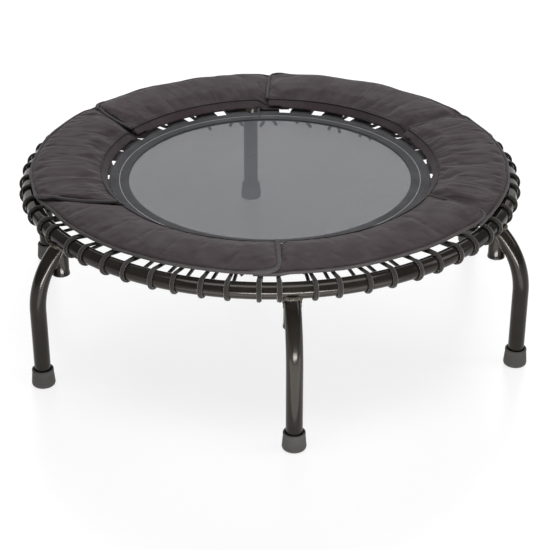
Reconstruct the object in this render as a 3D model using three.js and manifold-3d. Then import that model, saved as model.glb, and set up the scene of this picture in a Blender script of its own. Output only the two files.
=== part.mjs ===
// A mini trampoline for fitness work. A round tube ring stands on six arched legs. Each leg has a
// sleeve that slides up over a post under the ring, and one flanged bolt from below holds it there.
// A round mesh mat hangs inside the ring. Its woven border ends in thirty tabs, and thirty elastic
// cords tie the tabs to the ring. Every cord passes through its tab's loop, wraps twice round the
// ring tube and is knotted under the tab, where its two tails hang down. Six padded sections cover
// the cords.
//
// Millimetres. +Z is up, the origin is on the floor under the ring's centre, and leg 1 stands
// towards -Y. Angles are in degrees from -Y towards +X. In the sections below, a height measured
// from the ring's centre is turned into a height above the floor by adding RING_Z.

import * as THREE from "three";
import { mergeVertices } from "three/addons/utils/BufferGeometryUtils.js";
import Module from "manifold-3d";

const wasm = await Module();
wasm.setup();

// Frame ring.
const RING_OD = 990;
const TUBE_OD = 31.75;
const TUBE_WALL = 1.8;
const RING_Z = 299;
const TUBE_R = TUBE_OD / 2;
const RING_R = RING_OD / 2 - TUBE_R;

// Posts under the ring, which carry the legs.
const LEG_COUNT = 6;
const LEG_PITCH = 360 / LEG_COUNT;
const POST_R = RING_R + 4;
const POST_OD = 27;
const POST_WALL = 2;
const POST_BOTTOM = -62;
const POST_PLUG = 10;
const THREAD_R = 4.3;

// Legs.
const SLEEVE_TOP = -8;
const SLEEVE_BOTTOM = -70;
const SLEEVE_CAP = 3;
const CAP_HOLE_R = 4.5;
const LEG_START_R = POST_R + 5;
const LEG_START_Z = -19;
const LEG_START_SLOPE = 44;
const LEG_BEND_R = 160;
const LEG_LEAN = 0.9;
const LEG_BEND_STEPS = 6;

// Rubber feet.
const FOOT_HEIGHT = 36;
const FOOT_FLOOR = 7;
const FOOT_TOP_R = 20;
const FOOT_BOTTOM_R = 23;
const FOOT_ROUND = 3;

// Bolts under the sleeves.
const BOLT_R = 4;
const BOLT_FLANGE_R = 17;
const BOLT_FLANGE = 3;
const BOLT_HEAD_R = 7.5;
const BOLT_HEAD = 5;
const BOLT_LENGTH = 20;

// Mat. Its middle plane lies MAT_LIFT above the ring's centre.
const MAT_LIFT = 2;
const MESH_R = 310;
const MESH_THICK = 1.2;
const BAND_INNER_R = 282.5;
const BAND_OUTER_R = 322;
const BAND_THICK = 4.4;
const TAB_COUNT = 30;
const TAB_PITCH = 360 / TAB_COUNT;
const TAB_WIDTH = 44;
const TAB_THICK = 3;

// The narrower loop at each tab's outer end, which the cord passes through.
const LOOP_R = 348;
const LOOP_WIDTH = 24;
const LOOP_WALL = 2;

// Elastic cords.
const CORD_OD = 7;
const CORD_SIDES = 5;
const CORD_SHIFT = -4.4;
const WRAP_HALF_ANGLE = 2.65;
const WRAP_LEG_CLEARANCE = 2.75;
const WRAP_STEPS = 4;
const KNOT_R = 8;
const KNOT_DROP = 15;
const TAIL_LENGTH = 34;
const TAIL_SPREAD = 9;

// Padded cover.
const PAD_COUNT = 6;
const PAD_INNER_R = 336.5;
const PAD_OUTER_R = 470;
const PAD_STEPS = 9;
const PAD_SEAM_GAP = 1.2;
const PAD_SEAM_SHIFT = -4.8;

// Clearance between pieces that touch.
const GAP = 0.3;

// Shapes' fineness.
const RING_SEGMENTS = 48;
const RING_SIDES = 12;
const BORE_SIDES = 6;
const LEG_SIDES = 10;
const ROUND_SIDES = 10;
const MAT_SEGMENTS = 48;

const CORD_R = CORD_OD / 2;
const radians = THREE.MathUtils.degToRad;

const powderCoat = new THREE.MeshStandardMaterial({ color: 0x0d0c0c, roughness: 0.3, metalness: 0.0 });
const rubber = new THREE.MeshStandardMaterial({ color: 0x2a2827, roughness: 0.75, metalness: 0.0 });
const zincSteel = new THREE.MeshStandardMaterial({ color: 0x57585a, roughness: 0.4, metalness: 1.0 });
const meshCloth = new THREE.MeshStandardMaterial({ color: 0x3b3c40, roughness: 0.85, metalness: 0.0 });
const webbing = new THREE.MeshStandardMaterial({ color: 0x33363b, roughness: 0.9, metalness: 0.0 });
const cordSheath = new THREE.MeshStandardMaterial({ color: 0x171615, roughness: 0.85, metalness: 0.0 });
const padCloth = new THREE.MeshStandardMaterial({ color: 0x3a3437, roughness: 0.9, metalness: 0.0 });

// The point at a radius and an angle about the vertical axis.
function polar(radius, angle, z) {
  const a = radians(angle);
  return new THREE.Vector3(radius * Math.sin(a), -radius * Math.cos(a), z);
}

// A closed three.js geometry as a solid.
function solid(geometry) {
  const bare = geometry.index ? geometry.toNonIndexed() : geometry.clone();
  bare.deleteAttribute("normal");
  bare.deleteAttribute("uv");
  const merged = mergeVertices(bare, 1e-3);
  return new wasm.Manifold(
    new wasm.Mesh({
      numProp: 3,
      vertProperties: merged.attributes.position.array,
      triVerts: new Uint32Array(merged.index.array),
    }),
  );
}

// A solid as a three.js geometry.
function geometryOf(made) {
  const mesh = made.getMesh();
  const geometry = new THREE.BufferGeometry();
  geometry.setAttribute("position", new THREE.BufferAttribute(mesh.vertProperties, 3));
  geometry.setIndex(new THREE.BufferAttribute(mesh.triVerts, 1));
  geometry.computeVertexNormals();
  return geometry;
}

// An upright round bar between two heights, with its axis at x on the X axis.
function uprightBar(radius, low, high, x, sides = ROUND_SIDES) {
  const bar = new THREE.CylinderGeometry(radius, radius, high - low, sides);
  bar.rotateX(Math.PI / 2);
  bar.translate(x, 0, (low + high) / 2);
  return solid(bar);
}

// The frame ring's tube, or its bore, at its own height of zero.
function ringTube(radius, sides = RING_SIDES) {
  return solid(new THREE.TorusGeometry(RING_R, radius, sides, RING_SEGMENTS));
}

// A path with one section at each of its points, so that a straight stretch takes a single step.
class StationPath extends THREE.Curve {
  constructor(points) {
    super();
    this.points = points;
  }

  getPoint(t) {
    const place = t * (this.points.length - 1);
    const index = Math.min(Math.floor(place), this.points.length - 2);
    return this.points[index].clone().lerp(this.points[index + 1], place - index);
  }

  getSpacedPoints() {
    return this.points.map((point) => point.clone());
  }

  getTangentAt(u) {
    const last = this.points.length - 1;
    const index = Math.round(u * last);
    const here = this.points[index];
    const tangent = new THREE.Vector3();
    if (index > 0) tangent.add(here.clone().sub(this.points[index - 1]).normalize());
    if (index < last) tangent.add(this.points[index + 1].clone().sub(here).normalize());
    return tangent.normalize();
  }
}

// A round bar along a list of points.
function barAlong(points, radius, sides) {
  const section = new THREE.Shape();
  for (let i = 0; i < sides; i++) {
    const a = (i * 2 * Math.PI) / sides;
    const corner = [radius * Math.cos(a), radius * Math.sin(a)];
    if (i === 0) section.moveTo(...corner);
    else section.lineTo(...corner);
  }
  return new THREE.ExtrudeGeometry(section, {
    steps: points.length - 1,
    bevelEnabled: false,
    extrudePath: new StationPath(points),
  });
}

// A box between two places on the X axis, centred on it across and in height.
function crossBlock([near, far], width, height) {
  const box = new THREE.BoxGeometry(far - near, width, height);
  box.translate((near + far) / 2, 0, 0);
  return solid(box);
}

// The ring and its six posts are one weldment. The posts' bores open the ring's bore downwards.
function frameRing() {
  let outside = ringTube(TUBE_R);
  let inside = ringTube(TUBE_R - TUBE_WALL, BORE_SIDES);
  for (let i = 0; i < LEG_COUNT; i++) {
    const turn = [0, 0, i * LEG_PITCH];
    const plugTop = POST_BOTTOM + POST_PLUG;
    outside = outside.add(uprightBar(POST_OD / 2, POST_BOTTOM, -4, POST_R).rotate(turn));
    inside = inside.add(uprightBar(POST_OD / 2 - POST_WALL, plugTop, -2, POST_R, BORE_SIDES).rotate(turn));
    inside = inside.add(uprightBar(THREAD_R, POST_BOTTOM - 1, plugTop + 1, POST_R, BORE_SIDES).rotate(turn));
  }
  return outside.subtract(inside).rotate([0, 0, -90]).translate([0, 0, RING_Z]);
}

// The leg's centre line in the XZ plane: out of the sleeve, round the arch and down to a height.
function legLine(bottom) {
  const points = [];
  const first = radians(LEG_START_SLOPE);
  const last = radians(90 + LEG_LEAN);
  for (let i = 0; i <= LEG_BEND_STEPS; i++) {
    const slope = first + ((last - first) * i) / LEG_BEND_STEPS;
    const x = LEG_START_R + LEG_BEND_R * (Math.sin(slope) - Math.sin(first));
    const z = LEG_START_Z + LEG_BEND_R * (Math.cos(slope) - Math.cos(first));
    points.push(new THREE.Vector3(x, 0, z));
  }
  const end = points.at(-1);
  const drop = end.z - bottom;
  points.push(new THREE.Vector3(end.x - drop * Math.tan(radians(LEG_LEAN)), 0, bottom));
  return points;
}

// An arched tube welded to the side of a sleeve. The sleeve's top is coped to fit under the ring.
function archedLeg() {
  const tubeEnd = FOOT_FLOOR + GAP - RING_Z;
  const arch = solid(barAlong(legLine(tubeEnd), TUBE_R, LEG_SIDES));
  const archBore = solid(barAlong(legLine(tubeEnd - 1), TUBE_R - TUBE_WALL, BORE_SIDES));
  const sleeve = uprightBar(TUBE_R, SLEEVE_BOTTOM, SLEEVE_TOP, POST_R);
  const bore = uprightBar(TUBE_R - TUBE_WALL, SLEEVE_BOTTOM + SLEEVE_CAP, 1, POST_R);
  const boltHole = uprightBar(CAP_HOLE_R, SLEEVE_BOTTOM - 1, SLEEVE_BOTTOM + SLEEVE_CAP + 1, POST_R, BORE_SIDES);
  const ringRoom = ringTube(TUBE_R + GAP);
  return arch.subtract(archBore).add(sleeve).subtract(bore).subtract(boltHole).subtract(ringRoom);
}

// A tapered rubber boot on the leg's end. Its base is flat on the floor.
function rubberFoot() {
  const boreR = TUBE_R + GAP;
  const profile = [
    [0, -FOOT_ROUND],
    [FOOT_BOTTOM_R - FOOT_ROUND, -FOOT_ROUND],
    [FOOT_BOTTOM_R - FOOT_ROUND * 0.4, 0],
    [FOOT_BOTTOM_R, FOOT_ROUND],
    [FOOT_TOP_R, FOOT_HEIGHT - 1],
    [FOOT_TOP_R - 1, FOOT_HEIGHT],
    [boreR, FOOT_HEIGHT],
    [boreR, FOOT_FLOOR],
    [0, FOOT_FLOOR],
  ].map(([x, y]) => new THREE.Vector2(x, y));
  const boot = new THREE.LatheGeometry(profile, ROUND_SIDES);
  boot.rotateX(Math.PI / 2);
  const tubeEnd = legLine(FOOT_FLOOR + GAP - RING_Z).at(-1);
  boot.rotateY(radians(LEG_LEAN));
  boot.translate(tubeEnd.x - FOOT_FLOOR * Math.tan(radians(LEG_LEAN)), 0, -RING_Z);
  const reach = 2 * FOOT_BOTTOM_R;
  const floor = crossBlock([tubeEnd.x - reach, tubeEnd.x + reach], 2 * reach, reach);
  return solid(boot).subtract(floor.translate([0, 0, -RING_Z - reach / 2]));
}

// A flanged hexagon bolt. Its shank passes the sleeve's cap into the post's threaded plug.
function legBolt() {
  const seat = SLEEVE_BOTTOM - GAP;
  const shank = uprightBar(BOLT_R, seat - 1, seat + BOLT_LENGTH, POST_R, BORE_SIDES);
  const flange = uprightBar(BOLT_FLANGE_R, seat - BOLT_FLANGE, seat, POST_R);
  const head = uprightBar(BOLT_HEAD_R, seat - BOLT_FLANGE - BOLT_HEAD, seat - BOLT_FLANGE + 1, POST_R, 6);
  return shank.add(flange).add(head);
}

// The jumping surface, a disc of mesh cloth whose edge sits in the border's fold.
function meshDisc() {
  const disc = new THREE.CylinderGeometry(MESH_R, MESH_R, MESH_THICK, MAT_SEGMENTS);
  disc.rotateX(Math.PI / 2);
  disc.translate(0, 0, RING_Z + MAT_LIFT);
  return solid(disc);
}

// The border is webbing folded round the mesh's edge, with thirty webbing tabs. Each tab's end is
// sewn into a loop for the cord.
function edgeBand() {
  const half = BAND_THICK / 2;
  const fold = MESH_THICK / 2 + GAP;
  const profile = [
    [BAND_INNER_R, -half],
    [BAND_OUTER_R, -half],
    [BAND_OUTER_R, half],
    [BAND_INNER_R, half],
    [BAND_INNER_R, fold],
    [MESH_R + GAP, fold],
    [MESH_R + GAP, -fold],
    [BAND_INNER_R, -fold],
    [BAND_INNER_R, -half],
  ].map(([x, y]) => new THREE.Vector2(x, y));
  const border = new THREE.LatheGeometry(profile, MAT_SEGMENTS);
  border.rotateX(Math.PI / 2);
  const holeReach = CORD_R + 2 * GAP;
  const loopReach = holeReach + LOOP_WALL;
  const web = crossBlock([MESH_R + GAP + 1, LOOP_R - loopReach - 2], TAB_WIDTH, TAB_THICK);
  const neck = crossBlock([MESH_R + GAP + 1, LOOP_R], LOOP_WIDTH, TAB_THICK);
  const loop = crossBlock([LOOP_R - loopReach, LOOP_R + loopReach], LOOP_WIDTH, 2 * loopReach);
  const hole = crossBlock([LOOP_R - holeReach, LOOP_R + holeReach], TAB_WIDTH, 2 * holeReach);
  const tab = web.add(neck).add(loop).subtract(hole);
  let made = solid(border);
  for (let i = 0; i < TAB_COUNT; i++) {
    made = made.add(tab.rotate([0, 0, i * TAB_PITCH - 90 + CORD_SHIFT]));
  }
  return made.translate([0, 0, RING_Z + MAT_LIFT]);
}

// The angle of one wrap of a cord. A wrap that would meet a leg's sleeve sits against it instead.
function wrapAngle(cord, side) {
  const angle = CORD_SHIFT + cord * TAB_PITCH + side * WRAP_HALF_ANGLE;
  const leg = Math.round(angle / LEG_PITCH) * LEG_PITCH;
  const apart = angle - leg;
  return Math.abs(apart) < WRAP_LEG_CLEARANCE ? leg + Math.sign(apart) * WRAP_LEG_CLEARANCE : angle;
}

// One half of a cord, from the middle of its run through the tab's loop, out over the ring, round
// the tube, back under it to the knot below the loop, and down its tail.
function cordHalf(cord, side) {
  const middle = CORD_SHIFT + cord * TAB_PITCH;
  const matZ = RING_Z + MAT_LIFT;
  const across = polar(1, middle + 90, 0).multiplyScalar(side);
  const atTab = (radius, offset, z) => polar(radius, middle, z).addScaledVector(across, offset);
  const wrapR = (TUBE_R + CORD_R + GAP) / Math.cos(Math.PI / (2 * WRAP_STEPS));
  const wraps = [];
  for (let i = 0; i <= WRAP_STEPS; i++) {
    const turn = Math.PI / 2 - (i * Math.PI) / WRAP_STEPS;
    const radius = RING_R + wrapR * Math.cos(turn);
    wraps.push(polar(radius, wrapAngle(cord, side), RING_Z + wrapR * Math.sin(turn)));
  }
  const knotZ = matZ - KNOT_DROP;
  const strand = LOOP_R * Math.sin(radians(WRAP_HALF_ANGLE));
  const route = [
    atTab(LOOP_R, 0, matZ),
    atTab(LOOP_R, strand - CORD_R / 2, matZ),
    atTab(LOOP_R + CORD_R, strand, matZ),
    ...wraps,
    atTab(LOOP_R + 2 * CORD_R, strand, knotZ + 1),
    atTab(LOOP_R + CORD_R, CORD_R, knotZ),
    atTab(LOOP_R, CORD_R, knotZ - CORD_R),
    atTab(LOOP_R, CORD_R + TAIL_SPREAD, knotZ - TAIL_LENGTH),
  ];
  return solid(barAlong(route, CORD_R, CORD_SIDES));
}

// A cord's two halves are one cord, joined in the run through the loop and in the knot.
function elasticCord(cord) {
  const knot = new THREE.SphereGeometry(KNOT_R, 6, 4);
  knot.translate(...polar(LOOP_R, CORD_SHIFT + cord * TAB_PITCH, RING_Z + MAT_LIFT - KNOT_DROP).toArray());
  return cordHalf(cord, 1).add(cordHalf(cord, -1)).add(solid(knot));
}

// One section of the padded cover, as a plain closed solid.
function padSection(index) {
  const section = new THREE.Shape();
  section.moveTo(PAD_INNER_R, 7);
  section.lineTo(PAD_INNER_R + 4, 7);
  section.lineTo(PAD_INNER_R + 4, 10);
  section.lineTo(LOOP_R + 10, 10);
  section.lineTo(PAD_OUTER_R, 25);
  section.lineTo(PAD_OUTER_R, 31);
  section.lineTo(PAD_OUTER_R - 22, 35);
  section.lineTo((PAD_INNER_R + PAD_OUTER_R) / 2, 37);
  section.lineTo(PAD_INNER_R + 16, 34);
  section.lineTo(PAD_INNER_R, 27);
  section.closePath();
  const bar = new THREE.ExtrudeGeometry(section, { depth: 1, steps: PAD_STEPS, bevelEnabled: false });
  const seam = THREE.MathUtils.radToDeg(PAD_SEAM_GAP / PAD_OUTER_R);
  const end = PAD_SEAM_SHIFT + (index + 1) * (360 / PAD_COUNT) - seam / 2;
  const sweep = 360 / PAD_COUNT - seam;
  const places = bar.attributes.position;
  for (let i = 0; i < places.count; i++) {
    const bent = polar(places.getX(i), end - sweep * places.getZ(i), RING_Z + places.getY(i));
    places.setXYZ(i, bent.x, bent.y, bent.z);
  }
  return solid(bar);
}

const trampoline = new THREE.Group();

function place(name, made, material) {
  const mesh = new THREE.Mesh(geometryOf(made), material.clone());
  mesh.name = name;
  trampoline.add(mesh);
  return mesh;
}

place("frame_ring", frameRing(), powderCoat);
place("mat_mesh", meshDisc(), meshCloth);
place("mat_edge_band", edgeBand(), webbing);

const leg = archedLeg();
const foot = rubberFoot();
const bolt = legBolt();
for (let i = 0; i < LEG_COUNT; i++) {
  const pieces = [
    place(`arched_leg_${i + 1}`, leg, powderCoat),
    place(`rubber_foot_${i + 1}`, foot, rubber),
    place(`leg_bolt_${i + 1}`, bolt, zincSteel),
  ];
  for (const piece of pieces) {
    piece.position.z = RING_Z;
    piece.rotation.z = radians(i * LEG_PITCH - 90);
  }
}

for (let i = 0; i < PAD_COUNT; i++) place(`pad_section_${i + 1}`, padSection(i), padCloth);

for (let i = 0; i < TAB_COUNT; i++) {
  const number = String(i + 1).padStart(2, "0");
  place(`elastic_cord_${number}`, elasticCord(i), cordSheath);
}

export default trampoline;
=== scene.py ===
# A mini trampoline for fitness work. A gloss black tube ring stands on six arched legs in rubber
# boots. A round mesh mat hangs in it by thirty elastic cords, and six padded sections cover them.
#
# Metres. +Z is up, the floor is at zero under the ring's centre, and leg 1 stands towards -Y.
# Angles are in degrees from -Y towards +X.

import math
import random

import bmesh
import bpy
from mathutils import Matrix, Vector, noise


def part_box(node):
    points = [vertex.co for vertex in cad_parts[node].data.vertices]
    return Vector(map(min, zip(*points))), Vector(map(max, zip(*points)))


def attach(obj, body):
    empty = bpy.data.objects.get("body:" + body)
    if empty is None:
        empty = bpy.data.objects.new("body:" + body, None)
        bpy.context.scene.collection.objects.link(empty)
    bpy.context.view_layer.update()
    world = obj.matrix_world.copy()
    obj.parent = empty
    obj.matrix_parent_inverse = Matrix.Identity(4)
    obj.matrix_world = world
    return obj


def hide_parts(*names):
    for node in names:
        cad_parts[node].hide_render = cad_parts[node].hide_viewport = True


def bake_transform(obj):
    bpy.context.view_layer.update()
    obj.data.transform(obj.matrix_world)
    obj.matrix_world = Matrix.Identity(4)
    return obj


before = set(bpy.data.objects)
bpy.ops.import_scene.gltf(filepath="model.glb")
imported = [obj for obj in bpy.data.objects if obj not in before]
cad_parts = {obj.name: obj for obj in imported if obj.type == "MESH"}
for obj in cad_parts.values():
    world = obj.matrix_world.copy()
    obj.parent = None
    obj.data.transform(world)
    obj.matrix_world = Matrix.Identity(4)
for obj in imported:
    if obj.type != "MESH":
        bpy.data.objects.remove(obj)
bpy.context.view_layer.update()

# Viewpoint.
CAMERA_LENS = 129.065
CAMERA_PLACE = (-0.2941, -3.5771, 1.9830)
CAMERA_AHEAD = (0.07485, 0.87999, -0.46906)

# Frame ring.
TUBE_R = 0.015875
RING_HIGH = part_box("frame_ring")[1]
RING_R = RING_HIGH.x - TUBE_R
RING_Z = RING_HIGH.z - TUBE_R
RING_STEPS = 180
TUBE_SIDES = 32

# Legs.
LEG_COUNT = 6
LEG_PITCH = 360 / LEG_COUNT
POST_R = RING_R + 0.004
POST_TUBE_R = 0.0135
POST_TOP = 0.010
POST_BOTTOM = 0.062
SLEEVE_TOP = 0.008
SLEEVE_BOTTOM = 0.070
LEG_START_OUT = 0.005
LEG_START_DROP = 0.019
LEG_START_SLOPE = 44
LEG_BEND_R = 0.160
LEG_LEAN = 0.9
LEG_END = 0.0075
RING_BEAD_R = 0.0040
ARCH_BEAD_R = 0.0028

# Feet and bolts.
FOOT_HEIGHT = 0.036
FOOT_TOP_R = 0.020
FOOT_BOTTOM_R = 0.023
FOOT_ROUND = 0.006
BOLT_R = 0.004
FLANGE_R = 0.017
FLANGE_THICK = 0.003
HEAD_R = 0.0075
HEAD_TALL = 0.005

# Mat.
MAT_Z = RING_Z + 0.002
MESH_R = 0.310
BAND_INNER_R = 0.2825
BAND_OUTER_R = 0.322
BAND_THICK = 0.0044
BAND_SEAM_R = 0.3012
TAB_COUNT = 30
TAB_PITCH = 360 / TAB_COUNT
TAB_SHIFT = -4.4
TAB_WIDTH = 0.044
LOOP_R = 0.348
LOOP_WIDTH = 0.024
WEB_THICK = 0.0014
# A tab's way out from the border to its loop: radius, rise above the cloth and share of its width.
TAB_PROFILE = [
    (0.313, 0.0, 1.0), (0.3225, 0.0, 1.0), (0.327, 0.0002, 1.0), (0.334, 0.0, 1.0), (0.340, 0.0004, 0.98),
    (0.3435, 0.0016, 0.76),
]
WARP_PITCH = 0.0011
MESH_OPEN = 0.25

# Elastic cords.
CORD_R = 0.0035
WRAP_HALF_ANGLE = 2.65
WRAP_LEG_CLEARANCE = 2.75
WRAP_LEG_ROOM = 3.2
WRAP_WIDE = 0.0048
WRAP_THICK = 0.0028
KNOT_DROP = 0.015
KNOT_SIZE = 0.0022
KNOT_CORD_R = 0.0030

# Padded cover, in six sections. A seam is its inner and its outer angle, and a section's outer
# radius is given at its start, its middle and its end.
PAD_INNER_R = 0.3365
PAD_SEAMS = [(-3, -3), (60, 57), (117, 117), (176, 175), (233, 228), (295, 286)]
PAD_OUTER_R = [(0.472, 0.462, 0.462), (0.462, 0.462, 0.471)] + [(0.474, 0.474, 0.474)] * 4
PAD_FLARE = 0.13
PAD_CREASES = [0.12, 0.18, 0.60, 0.38, 0.40, 0.62]
PAD_WAVE = [0.0015, 0.0015, 0.003, 0.006, 0.006, 0.003]
PAD_CORNER = 0.026
PAD_TUCK = 0.048
PAD_CELL = 0.004
PIPING_R = 0.0030
PIPING_OUTSET = 0.0016
BINDING_R = 0.0017
BINDING_SHARE = 0.004
BINDING_HEIGHT = 0.0268
PAD_OVERLAP = 0.056
PAD_SWELL = 0.0045
PAD_HEM = [0.0050, 0.0032, 0.0028, 0.0028, 0.0034, 0.0040]
PAD_CURL = [0.0, 0.0, 0.0, 0.0, 0.0015, 0.0045]
PAD_MIDDLE = 0.0275
PAD_TOP = 0.0345
PAD_TUCK_THICK = 0.0062
PAD_RISE = 0.026
PAD_LAP_THIN = 0.62
PAD_CURL_REACH = 0.030
# Heights above the ring's centre at the inner edge, and what they gain by the outer edge.
PAD_BOTTOM = (0.0080, 0.0150)
PAD_TUCK_BOTTOM = (0.0088, 0.0130)
PAD_LAP_MIDDLE = (0.0280, 0.0024)
PAD_FRAMES = 20
PAD_FILLING = {
    "quality": 5, "mass": 0.2, "tension_stiffness": 12, "compression_stiffness": 12,
    "bending_stiffness": 0.35, "use_pressure": True, "uniform_pressure_force": 4.0,
    "vertex_group_mass": "sewn",
}
# A section's outline across its width, and its height above the ring's centre. The width runs from
# 0 at the inner top edge to 1 at the outer edge, and the inner wall leans in below 0.
PAD_OUTLINE = [
    (-0.098, 0.0098), (-0.020, 0.0085), (0.040, 0.0080), (0.110, 0.0092), (0.18, 0.0125), (0.45, 0.0165),
    (0.75, 0.0205), (0.965, 0.0230), (1.0, 0.0258), (1.0, 0.0292), (0.965, 0.0318), (0.86, 0.0335),
    (0.68, 0.0347), (0.50, 0.0350), (0.30, 0.0342), (0.14, 0.0325), (0.045, 0.0300), (0.004, 0.0262),
    (-0.098, 0.0122),
]


def polar(radius, angle, height):
    """The point at a radius and an angle about the upright axis."""
    a = math.radians(angle)
    return Vector((radius * math.sin(a), -radius * math.cos(a), height))


def outward(angle):
    """Turns a shape made along +X to point outwards at an angle."""
    return Matrix.Rotation(math.radians(angle - 90), 4, "Z")


def to_leg(bm, number, lean=Matrix()):
    """Turns a shape made along +X to a leg's own angle."""
    bmesh.ops.transform(bm, matrix=outward((number - 1) * LEG_PITCH) @ lean, verts=bm.verts)


def tab_angle(number):
    """The angle of a tab and of its cord."""
    return TAB_SHIFT + (number - 1) * TAB_PITCH


# ---- shader building blocks


def feed(tree, socket, value):
    """Links a socket to another node's, or sets it to a plain value."""
    if isinstance(value, bpy.types.NodeSocket):
        tree.links.new(value, socket)
    else:
        socket.default_value = value


def add(tree, kind, values=None, **settings):
    """Adds a node, sets its plain settings and feeds its inputs."""
    made = tree.nodes.new(kind)
    for key, value in settings.items():
        setattr(made, key, value)
    for key, value in (values or {}).items():
        feed(tree, made.inputs[key], value)
    return made


def maths(tree, operation, first, second=0.0):
    """One arithmetic step."""
    return add(tree, "ShaderNodeMath", {0: first, 1: second}, operation=operation).outputs[0]


def ramp(tree, value, low, high, to_low=0.0, to_high=1.0):
    """Maps a range onto another with soft ends."""
    values = {"Value": value, "From Min": low, "From Max": high, "To Min": to_low, "To Max": to_high}
    return add(tree, "ShaderNodeMapRange", values, interpolation_type="SMOOTHSTEP").outputs[0]


def mix(tree, share, first, second):
    """A colour between two."""
    return add(tree, "ShaderNodeMix", {0: share, 6: first, 7: second}, data_type="RGBA").outputs[2]


def clouds(tree, place, **values):
    """A noise texture's value."""
    return add(tree, "ShaderNodeTexNoise", {"Vector": place, **values}).outputs[0]


def grey(value, warmth=0.0):
    """A near-neutral linear colour."""
    return (value * (1 + warmth), value, value * (1 - warmth), 1.0)


def group(name, inputs, outputs):
    """A shader node group with named float or vector sockets. Returns it with its two end nodes."""
    made = bpy.data.node_groups.new(name, "ShaderNodeTree")
    for label, kind, value in inputs:
        socket = made.interface.new_socket(label, in_out="INPUT", socket_type=kind)
        if value is not None:
            socket.default_value = value
    for label in outputs:
        made.interface.new_socket(label, in_out="OUTPUT", socket_type="NodeSocketFloat")
    return made, made.nodes.new("NodeGroupInput"), made.nodes.new("NodeGroupOutput")


def grain_group():
    """Fine bumps with slow patches over them, for coatings and rubber."""
    tree, start, end = group(
        "fine_grain",
        [("Place", "NodeSocketVector", None), ("Scale", "NodeSocketFloat", 900.0)],
        ["Height", "Patches"],
    )
    fine = clouds(tree, start.outputs[0], Scale=start.outputs[1], Detail=2.0)
    slow = clouds(tree, start.outputs[0], Scale=14.0, Detail=4.0)
    tree.links.new(fine, end.inputs[0])
    tree.links.new(ramp(tree, slow, 0.35, 0.7), end.inputs[1])
    return tree


def dust_group():
    """Dust that lies on the faces that look up, thicker in slow patches."""
    tree, start, end = group(
        "settled_dust",
        [("Place", "NodeSocketVector", None), ("Amount", "NodeSocketFloat", 0.2)],
        ["Dust"],
    )
    normal = add(tree, "ShaderNodeNewGeometry").outputs["Normal"]
    up = add(tree, "ShaderNodeSeparateXYZ", {0: normal}).outputs[2]
    cloud = clouds(tree, start.outputs[0], Scale=24.0, Detail=6.0)
    lying = maths(tree, "MULTIPLY", ramp(tree, up, 0.2, 1.0), ramp(tree, cloud, 0.3, 0.75))
    tree.links.new(maths(tree, "MULTIPLY", lying, start.outputs[1]), end.inputs[0])
    return tree


def weave_group():
    """A plain weave over the first two coordinates: bump height, thread shade and cloth cover."""
    tree, start, end = group(
        "plain_weave",
        [("Place", "NodeSocketVector", None), ("Pitch", "NodeSocketFloat", 0.002)],
        ["Height", "Thread", "Cover"],
    )
    parts = add(tree, "ShaderNodeSeparateXYZ", {0: start.outputs[0]})
    turns = [maths(tree, "DIVIDE", parts.outputs[i], start.outputs[1]) for i in (0, 1)]
    half = [maths(tree, "SINE", maths(tree, "MULTIPLY", turn, math.pi)) for turn in turns]
    full = [maths(tree, "SINE", maths(tree, "MULTIPLY", turn, math.pi * 2)) for turn in turns]
    over = maths(tree, "MULTIPLY", full[0], full[1])
    tree.links.new(ramp(tree, over, -1.0, 1.0), end.inputs[0])
    cells = [maths(tree, "FLOOR", turn) for turn in turns]
    place = add(tree, "ShaderNodeCombineXYZ", {0: cells[0], 1: cells[1]}).outputs[0]
    thread = add(tree, "ShaderNodeTexWhiteNoise", {"Vector": place}).outputs["Value"]
    tree.links.new(thread, end.inputs[1])
    strands = [ramp(tree, maths(tree, "ABSOLUTE", wave), 0.50, 0.68) for wave in half]
    tree.links.new(maths(tree, "MAXIMUM", *strands), end.inputs[2])
    return tree


GRAIN = grain_group()
DUST = dust_group()
WEAVE = weave_group()


def shader(name, roughness, specular=0.5, sheen=0.0, metallic=0.0):
    """A material with its constants on the shader's own sockets. Returns it, its tree and shader."""
    made = bpy.data.materials.new(name)
    made.use_nodes = True
    base = made.node_tree.nodes["Principled BSDF"]
    base.inputs["Roughness"].default_value = roughness
    base.inputs["Specular IOR Level"].default_value = specular
    base.inputs["Sheen Weight"].default_value = sheen
    base.inputs["Sheen Roughness"].default_value = 0.45
    base.inputs["Metallic"].default_value = metallic
    return made, made.node_tree, base


def use(tree, made, **values):
    """Places a node group in a material."""
    return add(tree, "ShaderNodeGroup", values, node_tree=made).outputs


def object_place(tree):
    """A point's place in metres."""
    return add(tree, "ShaderNodeTexCoord").outputs["Object"]


def own_uv(tree):
    """A point's place on the piece's own UV map, in metres."""
    return add(tree, "ShaderNodeUVMap", uv_map="UVMap").outputs[0]


def surface(tree, base, colour, roughness):
    """Feeds the shader's colour and roughness."""
    tree.links.new(colour, base.inputs["Base Color"])
    tree.links.new(roughness, base.inputs["Roughness"])


def bump(tree, base, height, strength, distance):
    """Feeds a height to the shader's normal."""
    made = add(tree, "ShaderNodeBump", {"Height": height, "Strength": strength, "Distance": distance})
    tree.links.new(made.outputs[0], base.inputs["Normal"])


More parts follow.
